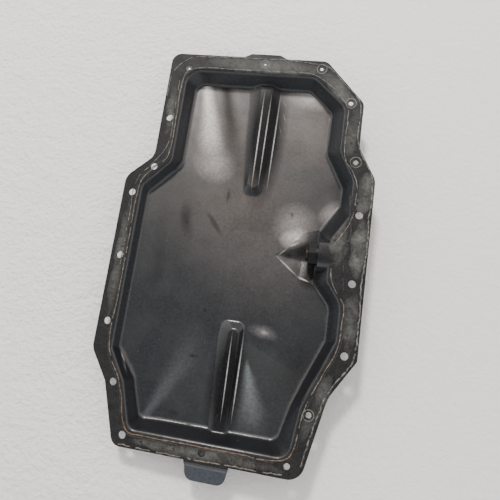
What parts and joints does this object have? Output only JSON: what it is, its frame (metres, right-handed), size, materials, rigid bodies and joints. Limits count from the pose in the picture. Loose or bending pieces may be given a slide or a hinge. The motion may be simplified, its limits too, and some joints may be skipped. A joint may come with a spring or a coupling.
{
  "type": "engine oil pan",
  "caption": "Shallow pressed-steel lower engine oil pan with a bolting flange, two stiffening beads, a drain hollow and a side drain plug under a raised nose.",
  "frame": {"origin": "on the sealing face, midway between the two long rows of bolt holes and on their middle holes", "axes": "+Z out of the sealing face towards the engine, +Y along the pan away from the pry tab, +X towards the drain plug"},
  "size_m": [0.247, 0.4173, 0.0332],
  "materials": {
    "pan_paint": "gloss black paint, worn and stained",
    "boss_paint": "gloss black paint",
    "washer_metal": "dull",
    "plug_steel": "plated, dull"
  },
  "bodies": {
    "pan": {"pan_shell": "pan_paint", "drain_boss": "boss_paint"},
    "washer": {"plug_washer": "washer_metal"},
    "plug": {"drain_plug": "plug_steel"}
  },
  "joints": [
    {"name": "washer_travel", "type": "slide", "parent": "pan", "child": "washer", "axis": [1, 0, 0], "range_m": [0, 0.012]},
    {"name": "plug_turn", "type": "hinge", "parent": "washer", "child": "plug", "pos_m": [0.0809, 0.025, -0.013], "axis": [1, 0, 0], "range_deg": [0, 2881]}
  ],
  "couplings": [
    {"joint": "plug_turn", "follows": "washer_travel", "rad_per_m": 4188.8}
  ]
}
